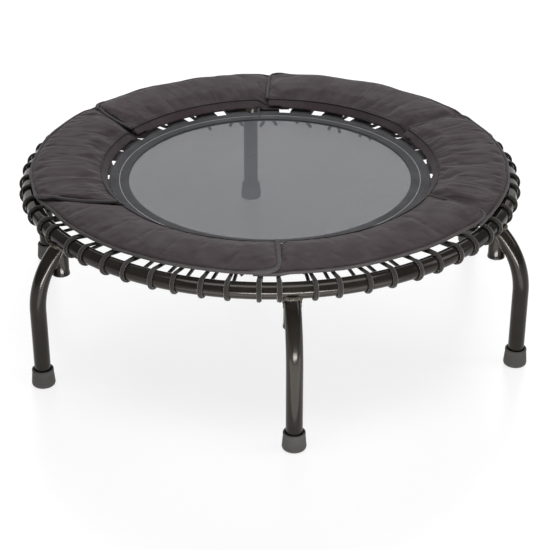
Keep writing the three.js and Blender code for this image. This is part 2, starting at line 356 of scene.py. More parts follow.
def powder_coat():
    """Gloss black powder coat with a faint orange peel and some dust."""
    made, tree, base = shader("powder_coat_black", 0.15, specular=0.32)
    base.inputs["Specular Tint"].default_value = (1.0, 0.93, 0.87, 1)
    place = object_place(tree)
    peel = use(tree, GRAIN, Place=place, Scale=260.0)
    dust = use(tree, DUST, Place=place, Amount=0.05)
    paint = mix(tree, peel["Patches"], grey(0.006, 0.20), grey(0.011, 0.20))
    colour = mix(tree, dust["Dust"], paint, grey(0.16, 0.05))
    surface(tree, base, colour, ramp(tree, peel["Patches"], 0, 1, 0.13, 0.18))
    bump(tree, base, peel["Height"], 0.03, 0.0003)
    return made


def weld_metal():
    """A rough weld with a brownish tinge under a thin coat."""
    made, tree, base = shader("weld_bead_brown", 0.30, specular=0.5)
    place = object_place(tree)
    slag = use(tree, GRAIN, Place=place, Scale=620.0)
    lumps = clouds(tree, place, Scale=210.0, Detail=3.0)
    tone = mix(tree, ramp(tree, lumps, 0.35, 0.65), (0.014, 0.011, 0.008, 1), (0.080, 0.067, 0.046, 1))
    surface(tree, base, tone, ramp(tree, slag["Height"], 0.3, 0.7, 0.24, 0.42))
    bump(tree, base, lumps, 0.5, 0.0012)
    return made


def boot_rubber():
    """Moulded rubber, matt and scuffed towards the floor."""
    made, tree, base = shader("boot_rubber_grey", 0.72, specular=0.35)
    place = object_place(tree)
    skin = use(tree, GRAIN, Place=place, Scale=1400.0)
    height = add(tree, "ShaderNodeSeparateXYZ", {0: place}).outputs[2]
    low = ramp(tree, height, 0.0, 0.012, 1.0, 0.0)
    scuffs = clouds(tree, place, Scale=160.0, Detail=5.0)
    worn = maths(tree, "MULTIPLY", low, ramp(tree, scuffs, 0.45, 0.7))
    rubber = mix(tree, skin["Patches"], grey(0.066, 0.04), grey(0.088, 0.04))
    colour = mix(tree, worn, rubber, grey(0.14, 0.04))
    surface(tree, base, colour, ramp(tree, skin["Patches"], 0, 1, 0.62, 0.8))
    bump(tree, base, skin["Height"], 0.25, 0.0003)
    return made


def bolt_steel():
    """Dark zinc plate with fine wear."""
    made, tree, base = shader("bolt_zinc_dark", 0.38, metallic=1.0)
    place = object_place(tree)
    plate = use(tree, GRAIN, Place=place, Scale=700.0)
    colour = mix(tree, plate["Patches"], grey(0.10, 0.02), grey(0.20, 0.03))
    surface(tree, base, colour, ramp(tree, plate["Patches"], 0, 1, 0.30, 0.48))
    bump(tree, base, plate["Height"], 0.15, 0.0002)
    return made


def mat_cloth():
    """Open mesh cloth. The light comes through between its threads."""
    made, tree, base = shader("mat_mesh_cloth", 0.6, specular=0.3)
    place = object_place(tree)
    weave = use(tree, WEAVE, Place=place, Pitch=WARP_PITCH)
    bands = ramp(tree, clouds(tree, place, Scale=5.0, Detail=3.0), 0.35, 0.7, 0.0, 0.4)
    yarn = mix(tree, weave["Thread"], (0.080, 0.082, 0.092, 1), (0.112, 0.115, 0.128, 1))
    tree.links.new(mix(tree, bands, yarn, grey(0.074, -0.04)), base.inputs["Base Color"])
    tree.links.new(ramp(tree, weave["Cover"], 0, 1, MESH_OPEN, 1.0), base.inputs["Alpha"])
    bump(tree, base, weave["Height"], 0.10, 0.0002)
    return made


def webbing(name, dark, light, pitch):
    """Woven polyester tape. Its pattern follows the piece's own UV map, in metres."""
    made, tree, base = shader(name, 0.85, specular=0.25, sheen=0.25)
    weave = use(tree, WEAVE, Place=own_uv(tree), Pitch=pitch)
    dust = use(tree, DUST, Place=object_place(tree), Amount=0.12)
    strand = maths(tree, "MULTIPLY", weave["Thread"], 0.4)
    tone = maths(tree, "ADD", maths(tree, "MULTIPLY", weave["Height"], 0.6), strand)
    colour = mix(tree, dust["Dust"], mix(tree, tone, dark, light), grey(0.3))
    surface(tree, base, colour, ramp(tree, weave["Thread"], 0, 1, 0.75, 0.95))
    bump(tree, base, weave["Height"], 0.6, 0.0006)
    return made


def cord_sheath():
    """A braided sheath over elastic. The braid follows the piece's own UV map, in metres."""
    made, tree, base = shader("cord_braided_sheath", 0.85, specular=0.25, sheen=0.3)
    slant = (0, 0, math.radians(45))
    turned = add(tree, "ShaderNodeMapping", {"Vector": own_uv(tree), "Rotation": slant}).outputs[0]
    braid = use(tree, WEAVE, Place=turned, Pitch=0.0014)
    dust = use(tree, DUST, Place=object_place(tree), Amount=0.10)
    yarn = mix(tree, braid["Height"], (0.0095, 0.0084, 0.0070, 1), (0.029, 0.0262, 0.0224, 1))
    colour = mix(tree, dust["Dust"], yarn, grey(0.22, 0.02))
    surface(tree, base, colour, ramp(tree, braid["Thread"], 0, 1, 0.78, 0.95))
    bump(tree, base, braid["Height"], 0.7, 0.0006)
    return made


def pad_cloth(name, dark, middle, light):
    """Coated nylon cloth with a fine weave, soft creases and slow changes of tone."""
    made, tree, base = shader(name, 0.78, specular=0.22, sheen=0.12)
    place = object_place(tree)
    weave = use(tree, WEAVE, Place=place, Pitch=0.0016)
    slow = clouds(tree, place, Scale=7.0, Detail=5.0, Roughness=0.6)
    crumple = clouds(tree, place, Scale=26.0, Detail=4.0, Distortion=0.4)
    dust = use(tree, DUST, Place=place, Amount=0.07)
    cloth = mix(tree, ramp(tree, slow, 0.35, 0.68), (*dark, 1), (*middle, 1))
    threads = mix(tree, ramp(tree, weave["Height"], 0, 1, 0.0, 0.45), cloth, (*light, 1))
    colour = mix(tree, dust["Dust"], threads, grey(0.35))
    surface(tree, base, colour, ramp(tree, slow, 0.3, 0.7, 0.66, 0.84))
    fine = maths(tree, "MULTIPLY", weave["Height"], 0.12)
    bump(tree, base, maths(tree, "ADD", crumple, fine), 0.13, 0.0020)
    return made


def thread(name, dark, light):
    """Polyester sewing thread."""
    made, tree, base = shader(name, 0.6, specular=0.3, sheen=0.2)
    twist = clouds(tree, object_place(tree), Scale=900.0)
    tree.links.new(mix(tree, twist, grey(dark), grey(light)), base.inputs["Base Color"])
    bump(tree, base, twist, 0.3, 0.0003)
    return made


COAT = powder_coat()
WELD = weld_metal()
RUBBER = boot_rubber()
STEEL = bolt_steel()
CLOTH = mat_cloth()
BORDER = webbing("border_webbing", (0.024, 0.025, 0.030, 1), (0.058, 0.060, 0.068, 1), 0.0016)
TAB = webbing("tab_webbing", (0.022, 0.022, 0.024, 1), (0.052, 0.052, 0.054, 1), 0.0020)
SHEATH = cord_sheath()
PLUM = (0.0350, 0.0230, 0.0258), (0.0495, 0.0350, 0.0405), (0.0620, 0.0460, 0.0515)
PAD = pad_cloth("pad_cloth_plum", *PLUM)
# Piping cloth is a lighter grey than the pad: partly its own colour, partly a painted highlight along the
# rolled hem.
PIPING_CLOTH_WITH_PAINTED_HIGHLIGHT = pad_cloth("pad_piping_grey_painted_highlight", (0.048, 0.041, 0.042), (0.068, 0.060, 0.061), (0.088, 0.079, 0.080))
DARK_TAPE = (0.013, 0.010, 0.010), (0.019, 0.015, 0.016), (0.026, 0.021, 0.022)
BINDING = pad_cloth("pad_binding_dark", *DARK_TAPE)
PALE_THREAD = thread("pale_sewing_thread", 0.40, 0.70)
DARK_THREAD = thread("dark_sewing_thread", 0.07, 0.12)


# ---- mesh building blocks


def placed(name, data):
    """An object in the scene."""
    made = bpy.data.objects.new(name, data)
    bpy.context.scene.collection.objects.link(made)
    return made


def mesh_from(bm, name):
    """Turns a bmesh into a mesh."""
    mesh = bpy.data.meshes.new(name)
    bm.to_mesh(mesh)
    bm.free()
    return mesh


def finished(bm, name, material, body, stands_for=None, merge=0.0):
    """Turns a bmesh into a smooth piece of the object."""
    if merge:
        bmesh.ops.remove_doubles(bm, verts=bm.verts, dist=merge)
    bmesh.ops.recalc_face_normals(bm, faces=bm.faces)
    for face in bm.faces:
        face.smooth = True
    return piece_of(mesh_from(bm, name), name, material, body, stands_for)


def piece_of(mesh, name, material, body, stands_for=None):
    """A mesh as a piece that takes its finish from a slot, may ride on a body and may stand for a
    node of the frame."""
    mesh.materials.clear()
    mesh.materials.append(material)
    made = placed(name, mesh)
    if body:
        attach(made, body)
    if stands_for:
        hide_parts(stands_for)
    return made


def crease(piece, angle=38):
    """Keeps the edges sharper than an angle crisp under smooth shading."""
    bm = bmesh.new()
    bm.from_mesh(piece.data)
    for edge in bm.edges:
        if len(edge.link_faces) == 2 and edge.calc_face_angle() > math.radians(angle):
            edge.smooth = False
    bm.to_mesh(piece.data)
    bm.free()
    return piece


def full_spin(bm, geom, steps, centre=0.0):
    """Spins parts of a mesh once round an upright axis."""
    axis = {"cent": (centre, 0, 0), "axis": (0, 0, 1)}
    bmesh.ops.spin(bm, geom=geom, angle=math.tau, steps=steps, use_merge=True, **axis)


def lathe(bm, outline, steps, centre=0.0):
    """Spins an outline of (radius, height) points once round an upright axis."""
    verts = [bm.verts.new((centre + radius, 0, height)) for radius, height in outline]
    edges = [bm.edges.new(pair) for pair in zip(verts, verts[1:])]
    full_spin(bm, verts + edges, steps, centre)


def along_line(points, up, sizes):
    """Places for a section along points: each matrix's Z runs along the line, and the section's
    two half sizes come from sizes, one pair for each point."""
    last = len(points) - 1
    places, before = [], None
    for i, point in enumerate(points):
        ahead = (points[min(i + 1, last)] - points[max(i - 1, 0)]).normalized()
        if before is not None:
            up = before.rotation_difference(ahead) @ up
        side = up.cross(ahead).normalized()
        top = ahead.cross(side)
        half_wide, half_tall = sizes[i]
        place = Matrix((side * half_wide, top * half_tall, ahead)).transposed().to_4x4()
        place.translation = point
        places.append(place)
        before = ahead
    return places


def sweep(bm, outline, places, closed=False):
    """Carries a flat outline through a list of places. Its UV map is (round, along) in metres."""
    layer = bm.loops.layers.uv.verify()
    first = [bm.verts.new(places[0] @ Vector((x, y, 0))) for x, y in outline]
    count = len(first)
    edges = [bm.edges.new((first[i], first[(i + 1) % count])) for i in range(count)]
    if not closed:
        bm.faces.new(first)
    size = sum((first[i].co - first[(i + 1) % count].co).length for i in range(count))
    number = {vert: i for i, vert in enumerate(first)}
    along = 0.0
    for here, there in zip(places, places[1:]):
        made = bmesh.ops.extrude_edge_only(bm, edges=edges)["geom"]
        verts = [g for g in made if isinstance(g, bmesh.types.BMVert)]
        faces = [g for g in made if isinstance(g, bmesh.types.BMFace)]
        bmesh.ops.transform(bm, matrix=there @ here.inverted(), verts=verts)
        fresh = {}
        for vert in verts:
            old = next(e.other_vert(vert) for e in vert.link_edges if e.other_vert(vert) in number)
            fresh[vert] = number[old]
        step = (there.translation - here.translation).length
        for face in faces:
            rounds = [number.get(loop.vert, fresh.get(loop.vert)) for loop in face.loops]
            wraps = max(rounds) - min(rounds) > 1
            for loop, turn in zip(face.loops, rounds):
                turn = count if wraps and turn == 0 else turn
                loop[layer].uv = (size * turn / count, along + (step if loop.vert in fresh else 0))
        edges = [e for e in {e for f in faces for e in f.edges} if all(v in fresh for v in e.verts)]
        number = fresh
        along += step
    last = sorted(number, key=number.get)
    if closed:
        start = [bm.edges.get((first[i], first[(i + 1) % count])) for i in range(count)]
        bmesh.ops.bridge_loops(bm, edges=start + edges)
    else:
        bm.faces.new(reversed(last))


def round_outline(sides):
    """A unit circle's corners."""
    return [(math.cos(math.tau * i / sides), math.sin(math.tau * i / sides)) for i in range(sides)]


def smooth_line(points, longest):
    """A curve through points, with no step longer than a length. Returns (place on the list, point)."""
    ends = [points[0] * 2 - points[1], *points, points[-1] * 2 - points[-2]]
    found = []
    for i in range(1, len(ends) - 2):
        a, b, c, d = ends[i - 1 : i + 3]
        steps = max(1, math.ceil((c - b).length / longest))
        for j in range(steps):
            t = j / steps
            line = b * 2 + (c - a) * t + (a * 2 - b * 5 + c * 4 - d) * t**2 + (b * 3 - a - c * 3 + d) * t**3
            found.append((i - 1 + t, line * 0.5))
    found.append((len(points) - 1.0, points[-1]))
    return found


def polar_uv(piece):
    """UVs in metres round and across a piece that lies round the upright axis."""
    mesh = piece.data
    layer = mesh.uv_layers.get("UVMap") or mesh.uv_layers.new(name="UVMap")
    for face in mesh.polygons:
        middle = math.atan2(face.center.x, -face.center.y)
        for index in face.loop_indices:
            co = mesh.vertices[mesh.loops[index].vertex_index].co
            turn = math.remainder(math.atan2(co.x, -co.y) - middle, math.tau) + middle
            layer.data[index].uv = (turn * BAND_INNER_R, math.hypot(co.x, co.y))


# ---- frame


def ring_tube():
    """The ring and the six posts that are welded under it."""
    bm = bmesh.new()
    place = Matrix.Translation((RING_R, 0, RING_Z)) @ Matrix.Rotation(math.pi / 2, 4, "X")
    circle = bmesh.ops.create_circle(bm, segments=TUBE_SIDES, radius=TUBE_R, matrix=place)["verts"]
    full_spin(bm, circle + list(bm.edges), RING_STEPS)
    low, high = RING_Z - POST_BOTTOM, RING_Z - POST_TOP
    for i in range(LEG_COUNT):
        post = outward(i * LEG_PITCH) @ Matrix.Translation((POST_R, 0, (low + high) / 2))
        bmesh.ops.create_cone(
            bm, cap_ends=True, segments=TUBE_SIDES, radius1=POST_TUBE_R, radius2=POST_TUBE_R,
            depth=high - low, matrix=post,
        )
    crease(finished(bm, "frame_ring_tube", COAT, "frame", "frame_ring", merge=1e-6))


def leg_line(bottom):
    """The leg's centre line in the XZ plane, from inside the sleeve down to a height."""
    first, last = math.radians(LEG_START_SLOPE), math.radians(90 + LEG_LEAN)
    start = Vector((POST_R + LEG_START_OUT, 0, RING_Z - LEG_START_DROP))
    points = [start - Vector((math.cos(first), 0, -math.sin(first))) * 0.006]
    steps = 22
    for i in range(steps + 1):
        slope = first + (last - first) * i / steps
        turn = Vector((math.sin(slope) - math.sin(first), 0, math.cos(slope) - math.cos(first)))
        points.append(start + turn * LEG_BEND_R)
    drop = points[-1].z - bottom
    for share in (0.05, 0.5, 1.0):
        points.append(points[steps + 1] - Vector((math.tan(math.radians(LEG_LEAN)), 0, 1)) * drop * share)
    return points


def sleeve_top(angle, radius):
    """How far below the ring's centre the ring's surface meets a circle round the post's axis."""
    x, y = POST_R + radius * math.cos(angle), radius * math.sin(angle)
    across = math.hypot(x, y) - RING_R
    return math.sqrt(max(TUBE_R**2 - across**2, SLEEVE_TOP**2))


def weld_bead(bm, points, radius, seed):
    """A rippled weld bead along a closed line of points."""
    draw = random.Random(seed)
    sizes, count = [], len(points)
    for i in range(count):
        swell = 1 + 0.22 * math.sin(i * 2.4) + draw.uniform(-0.12, 0.12)
        sizes.append((radius * swell, radius * swell * 0.8))
    middle = sum(points, Vector()) / count
    places = along_line(points, (points[0] - middle).normalized(), sizes)
    sweep(bm, round_outline(8), places, closed=True)


def arch_meets_sleeve(points, turn):
    """Where a line along the arch's surface leaves the sleeve."""
    for here, there in zip(points[:14], points[1:15]):
        ahead = (there - here).normalized()
        normal = Vector((ahead.z, 0, -ahead.x))
        offset = (normal * math.cos(turn) + Vector((0, 1, 0)) * math.sin(turn)) * TUBE_R
        for share in range(6):
            point = here.lerp(there, share / 6) + offset
            if math.hypot(point.x - POST_R, point.y) >= TUBE_R * 1.002 and point.x > POST_R:
                return point
    return point


def arched_leg(number):
    """A bent tube and the sleeve that it is welded to."""
    bm = bmesh.new()
    line = leg_line(LEG_END)
    sizes = [(TUBE_R, TUBE_R)] * len(line)
    sweep(bm, round_outline(TUBE_SIDES), along_line(line, Vector((0, 1, 0)), sizes))
    bottom, top = RING_Z - SLEEVE_BOTTOM, RING_Z - SLEEVE_TOP
    lip = 0.0011
    outline = [
        (BOLT_R + 0.0005, bottom + 0.001), (TUBE_R - 0.0022, bottom + 0.001), (TUBE_R - 0.0012, bottom),
        (TUBE_R + lip * 0.5, bottom), (TUBE_R + lip, bottom + 0.0012), (TUBE_R + lip * 0.6, bottom + 0.003),
        (TUBE_R, bottom + 0.0045), (TUBE_R, RING_Z - 0.030), (TUBE_R, top),
    ]
    lathe(bm, outline, 48, POST_R)
    for vert in bm.verts:
        x, y = vert.co.x - POST_R, vert.co.y
        if abs(vert.co.z - top) < 1e-6 and abs(math.hypot(x, y) - TUBE_R) < 1e-5:
            vert.co.z = RING_Z - sleeve_top(math.atan2(y, x), TUBE_R)
    to_leg(bm, number)
    name = f"leg_{number}_tube_and_sleeve"
    crease(finished(bm, name, COAT, "frame", f"arched_leg_{number}"), 50)


def leg_welds(number):
    """The beads where the sleeve meets the ring and where the arch meets the sleeve."""
    count = 72
    turns = [math.tau * i / count for i in range(count)]
    rim = []
    for turn in turns:
        x, y = POST_R + TUBE_R * math.cos(turn), TUBE_R * math.sin(turn)
        rim.append(Vector((x, y, RING_Z - sleeve_top(turn, TUBE_R))))
    bm = bmesh.new()
    weld_bead(bm, rim, RING_BEAD_R, number)
    line = leg_line(LEG_END)
    weld_bead(bm, [arch_meets_sleeve(line, turn) for turn in turns], ARCH_BEAD_R, number + 20)
    to_leg(bm, number)
    finished(bm, f"leg_{number}_welds", WELD, "frame")


def rubber_boot(number):
    """A tapered boot with a rolled mouth and a rounded sole."""
    inner = TUBE_R + 0.0009
    outline = [(0.0, 0.0), (FOOT_BOTTOM_R - FOOT_ROUND, 0.0)]
    for i in range(1, 7):
        turn = math.pi / 2 * i / 6
        middle = FOOT_BOTTOM_R - FOOT_ROUND * 0.75
        outline.append((middle + FOOT_ROUND * 0.75 * math.sin(turn), FOOT_ROUND * (1 - math.cos(turn))))
    outline += [
        (FOOT_TOP_R + 0.0014, FOOT_HEIGHT - 0.012), (FOOT_TOP_R + 0.0007, FOOT_HEIGHT - 0.0062),
        (FOOT_TOP_R + 0.0011, FOOT_HEIGHT - 0.0052), (FOOT_TOP_R + 0.0011, FOOT_HEIGHT - 0.0016),
        (FOOT_TOP_R + 0.0003, FOOT_HEIGHT - 0.0003), (FOOT_TOP_R - 0.0012, FOOT_HEIGHT),
        (inner + 0.0006, FOOT_HEIGHT - 0.0006), (inner, FOOT_HEIGHT - 0.0022), (inner, 0.007), (0.0, 0.007),
    ]
    bm = bmesh.new()
    lathe(bm, outline, 56)
    foot = leg_line(0.0)[-1]
    lean = Matrix.Translation((foot.x, 0, 0)) @ Matrix.Rotation(math.radians(LEG_LEAN), 4, "Y")
    to_leg(bm, number, lean)
    for vert in bm.verts:
        vert.co.z = max(vert.co.z, 0.0)
    name, node = f"boot_{number}", f"rubber_foot_{number}"
    crease(finished(bm, name, RUBBER, "frame", node, merge=1e-6), 50)


def flanged_bolt(number):
    """A flanged hexagon bolt under the sleeve."""
    seat = RING_Z - SLEEVE_BOTTOM - 0.0003
    under = seat - FLANGE_THICK
    outline = [
        (BOLT_R, seat + 0.02), (BOLT_R, seat), (FLANGE_R - 0.0008, seat), (FLANGE_R, seat - 0.0007),
        (FLANGE_R, seat - 0.0018), (FLANGE_R - 0.0018, under), (0.003, under),
    ]
    bm = bmesh.new()
    lathe(bm, outline, 48, POST_R)
    place = Matrix.Translation((POST_R, 0, under))
    head = bmesh.ops.create_circle(bm, cap_ends=True, segments=6, radius=HEAD_R, matrix=place)["verts"]
    face = next(f for f in head[0].link_faces if len(f.verts) == 6)
    made = bmesh.ops.extrude_face_region(bm, geom=[face])["geom"]
    tip = [g for g in made if isinstance(g, bmesh.types.BMVert)]
    bmesh.ops.translate(bm, vec=(0, 0, -HEAD_TALL), verts=tip)
    edges = [e for v in tip for e in v.link_edges]
    bmesh.ops.bevel(
        bm, geom=list(set(edges)), offset=0.0007, offset_type="OFFSET", segments=2, profile=0.5,
        affect="EDGES", material=-1, clamp_overlap=True,
    )
    to_leg(bm, number)
    crease(finished(bm, f"sleeve_bolt_{number}", STEEL, "frame", f"leg_bolt_{number}"), 30)


# ---- mat


def mesh_cloth():
    """The jumping surface: one layer of cloth, held stretched by the border."""
    bm = bmesh.new()
    lathe(bm, [(0.0, MAT_Z), (0.1, MAT_Z), (0.2, MAT_Z), (BAND_INNER_R, MAT_Z), (MESH_R, MAT_Z)], 96)
    made = finished(bm, "mat_cloth_disc", CLOTH, "mat", "mat_mesh", merge=1e-6)


def border_band():
    """Webbing folded round the mesh's edge, soft at both rims."""
    half, rim, fold = BAND_THICK / 2, 0.0007, 0.0009
    outline = [
        (BAND_INNER_R + rim, half), (BAND_INNER_R + 0.0035, half + 0.0003),
        (BAND_SEAM_R - 0.0025, half - 0.0002), (BAND_SEAM_R, half - 0.0006),
        (BAND_SEAM_R + 0.0025, half - 0.0002), (BAND_OUTER_R - 0.004, half + 0.0002),
        (BAND_OUTER_R - rim, half * 0.7), (BAND_OUTER_R, 0.0),
    ]
    lower = [(r, -z) for r, z in reversed(outline[:-1])]
    outline += lower + [
        (BAND_INNER_R, -half + rim), (BAND_INNER_R + 0.001, -fold), (MESH_R + 0.001, -fold),
        (MESH_R + 0.001, fold), (BAND_INNER_R + 0.001, fold), (BAND_INNER_R, half - rim),
    ]
    outline.append(outline[0])
    bm = bmesh.new()
    lathe(bm, [(r, MAT_Z + z) for r, z in outline], 240)
    made = finished(bm, "mat_border_band", BORDER, "mat", "mat_edge_band", merge=1e-6)
    polar_uv(crease(made, 60))


def web_tab(number):
    """A webbing strap folded round the cord's run and sewn back under the border."""
    reach = CORD_R + 0.0006 + WEB_THICK / 2
    top = WEB_THICK / 2 + 0.0001
    profile = [(radius, top + rise, TAB_WIDTH * share) for radius, rise, share in TAB_PROFILE]
    way_back = [(radius, -height, width) for radius, height, width in reversed(profile)]
    for i in range(9):
        turn = math.radians(125 - 250 * i / 8)
        profile.append((LOOP_R + reach * math.cos(turn), reach * math.sin(turn), LOOP_WIDTH))
    profile += way_back
    bm = bmesh.new()
    twist = random.Random(number).uniform(-0.15, 0.15)
    points = [Vector((r, 0, MAT_Z + z)) for r, z, _ in profile]
    sizes = [(w / 2, WEB_THICK / 2) for _, _, w in profile]
    outline = [(-1, -0.6), (-0.97, -1), (0.97, -1), (1, -0.6), (1, 0.6), (0.97, 1), (-0.97, 1), (-1, 0.6)]
    sweep(bm, outline, along_line(points, Vector((0, 0, 1)), sizes))
    bmesh.ops.transform(bm, matrix=outward(tab_angle(number) + twist), verts=bm.verts)
    crease(finished(bm, f"mat_tab_{number:02d}", TAB, "mat", "mat_edge_band"), 55)


def stitch_row(bm, radius, height, length, gap, spans):
    """A row of thread stitches round the mat, over spans of angle."""
    one = bmesh.new()
    shape = Matrix.Diagonal((length / 2, 0.0009, 0.0006, 1)) @ Matrix.Rotation(math.pi / 2, 4, "Y")
    bmesh.ops.create_uvsphere(one, u_segments=6, v_segments=4, radius=1.0, matrix=shape)
    stitch = mesh_from(one, "stitch")
    turn = math.degrees(length / radius)
    pitch = math.degrees((length + gap) / radius)
    for start, stop in spans:
        angle = start
        while angle + turn <= stop:
            middle = angle + turn / 2
            turned = Matrix.Rotation(math.radians(middle), 4, "Z")
            copy = stitch.copy()
            copy.transform(Matrix.Translation(polar(radius, middle, height)) @ turned)
            bm.from_mesh(copy)
            bpy.data.meshes.remove(copy)
            angle += pitch
    bpy.data.meshes.remove(stitch)


def stitching():
    """A pale row round the border, and dark rows at its rim and across the tabs."""
    top = MAT_Z + BAND_THICK / 2
    bm = bmesh.new()
    stitch_row(bm, BAND_SEAM_R, top - 0.0001, 0.0058, 0.0006, [(-180, 180)])
    finished(bm, "mat_stitching", PALE_THREAD, "mat")
    bm = bmesh.new()
    half = math.degrees(TAB_WIDTH / 2 / BAND_OUTER_R) - 0.5
    middles = [tab_angle(number) for number in range(1, TAB_COUNT + 1)]
    spans = [(middle - half, middle + half) for middle in middles]
    stitch_row(bm, BAND_OUTER_R - 0.0045, top + 0.0001, 0.0042, 0.0022, [(-180, 180)])
    stitch_row(bm, BAND_OUTER_R + 0.0035, MAT_Z + WEB_THICK + 0.0003, 0.0050, 0.0012, spans)
    finished(bm, "tab_stitching", DARK_THREAD, "mat")


# ---- elastic cords


def wrap_angle(number, side):
    """The angle of a cord's wrap. One that would meet a leg's sleeve sits against it instead."""
    angle = tab_angle(number) + side * WRAP_HALF_ANGLE
    leg = round(angle / LEG_PITCH) * LEG_PITCH
    apart = angle - leg
    if abs(apart) < WRAP_LEG_CLEARANCE:
        return leg + math.copysign(WRAP_LEG_CLEARANCE, apart)
    return angle


def cord_half(bm, number, side, draw):
    """From the middle of the run through the loop, round the ring, to the knot and down a tail."""
    middle = tab_angle(number)
    across = polar(1, middle + 90, 0) * side
    strand = LOOP_R * math.sin(math.radians(WRAP_HALF_ANGLE))
    knot_z = MAT_Z - KNOT_DROP
    angle = wrap_angle(number, side)
    by_leg = abs(angle - round(angle / LEG_PITCH) * LEG_PITCH) < WRAP_LEG_ROOM
    wander = 0.0 if by_leg else draw.uniform(-0.28, 0.28)
    angle += wander

    def at(radius, offset, height):
        return polar(radius, middle, height) + across * offset

    full, flat = (CORD_R, CORD_R), (WRAP_WIDE, WRAP_THICK)
    through = [
        at(LOOP_R, 0, MAT_Z), at(LOOP_R, strand - 0.006, MAT_Z),
        at(LOOP_R + 0.0018, strand - 0.0014, MAT_Z), at(LOOP_R + 0.006, strand, MAT_Z + 0.0008),
    ]
    route = [(point, full) for point in through]
    lean = draw.uniform(-0.25, 0.25)
    reach = TUBE_R + WRAP_THICK + 0.0002
    inside = RING_R - 0.045
    route.append((polar(inside, angle + wander * 0.2, MAT_Z + 0.010), (CORD_R, CORD_R * 0.97)))
    steps = 12
    for i in range(steps + 1):
        turn = math.radians(108 - 216 * i / steps)
        sway = lean * math.sin(math.pi * i / steps)
        point = polar(RING_R + reach * math.cos(turn), angle + sway, RING_Z + reach * math.sin(turn))
        route.append((point, flat))
    length = draw.uniform(0.010, 0.022)
    spread, swing = draw.uniform(0.006, 0.016), draw.uniform(-0.008, 0.006)
    back = [
        polar(inside, angle, knot_z - 0.003), at(LOOP_R + 0.012, strand * 0.9, knot_z + 0.0005),
        at(LOOP_R + 0.005, 0.007, knot_z), at(LOOP_R - 0.002, 0.0032, knot_z - 0.003),
        at(LOOP_R - 0.001, 0.005 + spread * 0.35, knot_z - 0.008 - length * 0.3),
        at(LOOP_R + swing, 0.006 + spread, knot_z - 0.008 - length),
    ]
    route += [(point, full) for point in back]
    found = smooth_line([point for point, _ in route], 0.009)
    sizes = []
    for place, _ in found:
        low = min(int(place), len(route) - 2)
        share = place - low
        (a, b), (c, d) = route[low][1], route[low + 1][1]
        sizes.append((a + (c - a) * share, b + (d - b) * share))
    places = along_line([point for _, point in found], Vector((0, 0, 1)), sizes)
    sweep(bm, round_outline(8), places)


def cord_knot(bm, number, draw):
    """An overhand knot's three crossing turns, below the loop."""
    centre = polar(LOOP_R + 0.0005, tab_angle(number), MAT_Z - KNOT_DROP)
    nod = Matrix.Rotation(draw.uniform(-0.5, 0.5), 3, "X")
    tilt = nod @ Matrix.Rotation(draw.uniform(0, math.tau), 3, "Z")
    points, steps = [], 36
    for i in range(steps):
        t = math.tau * i / steps
        x, y = math.sin(t) + 2 * math.sin(2 * t), math.cos(t) - 2 * math.cos(2 * t)
        points.append(centre + tilt @ Vector((x, y, -1.25 * math.sin(3 * t))) * KNOT_SIZE)
    up = (points[0] - centre).normalized()
    places = along_line([*points, points[0]], up, [(KNOT_CORD_R, KNOT_CORD_R)] * (steps + 1))
    sweep(bm, round_outline(8), places[:-1], closed=True)


def elastic_cord(number):
    """One cord with its two wraps, its knot and its two tails."""
    draw = random.Random(100 + number)
    bm = bmesh.new()
    for side in (1, -1):
        cord_half(bm, number, side, draw)
    cord_knot(bm, number, draw)
    made = finished(bm, f"bungee_cord_{number:02d}", SHEATH, None, f"elastic_cord_{number:02d}")
    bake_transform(made)


# ---- padded cover


def seam_angle(seam, share):
    """A seam's angle at a share of the pad's width."""
    return seam[0] + (seam[1] - seam[0]) * share


def ease(value):
    """A soft step from 0 to 1."""
    value = min(1.0, max(0.0, value))
    return value * value * (3 - 2 * value)


def pad_place(index, share, turn):
    """The radius and angle at a share of a pad's width and of its length, and how far its start and
    its end are from there."""
    begin = PAD_SEAMS[index - 1] if index else [angle - 360 for angle in PAD_SEAMS[-1]]
    start_r, outer_r, end_r = PAD_OUTER_R[index]
    middle = PAD_INNER_R + (outer_r - PAD_INNER_R) * share
    low = seam_angle(begin, share) - math.degrees(PAD_TUCK / middle)
    high = seam_angle(PAD_SEAMS[index], share)
    length = math.radians(high - low) * middle
    begin_gap, end_gap = turn * length, (1 - turn) * length
    flare = (start_r - outer_r) * (1 - ease(begin_gap / PAD_FLARE))
    flare += (end_r - outer_r) * (1 - ease(end_gap / PAD_FLARE))
    radius = middle + flare * share
    if end_gap < PAD_CORNER and share > 0:
        drop = PAD_CORNER - math.sqrt(PAD_CORNER**2 - (PAD_CORNER - end_gap) ** 2)
        radius -= drop * share**3
    return radius, low + (high - low) * turn, begin_gap, end_gap


def rising(pair, share):
    """A height that rises across a section's width."""
    return pair[0] + pair[1] * share


def edge_wave(index, angle, share):
    """How far the slight wave of a section's outer edge pushes out."""
    return PAD_WAVE[index] * noise.noise(Vector((angle * 0.12, 5.5, index))) * share


def pad_height(index, share, height, begin_gap, end_gap):
    """A section's height near its ends: its start tucks under the section before it, and its end
    lies on top of the next one."""
    bottom = rising(PAD_BOTTOM, share)
    tucked = rising(PAD_TUCK_BOTTOM, share) + PAD_TUCK_THICK * (height - bottom) / (PAD_TOP - bottom)
    under = 1 - ease((begin_gap - PAD_TUCK) / PAD_RISE)
    height += (tucked - height) * under
    over = 1 - ease(end_gap / PAD_OVERLAP)
    curl = PAD_CURL[index] * max(0.0, share) * (1 - ease(end_gap / PAD_CURL_REACH))
    lifted = rising(PAD_LAP_MIDDLE, share) + curl + (height - PAD_MIDDLE) * PAD_LAP_THIN
    return height + (lifted - height) * over


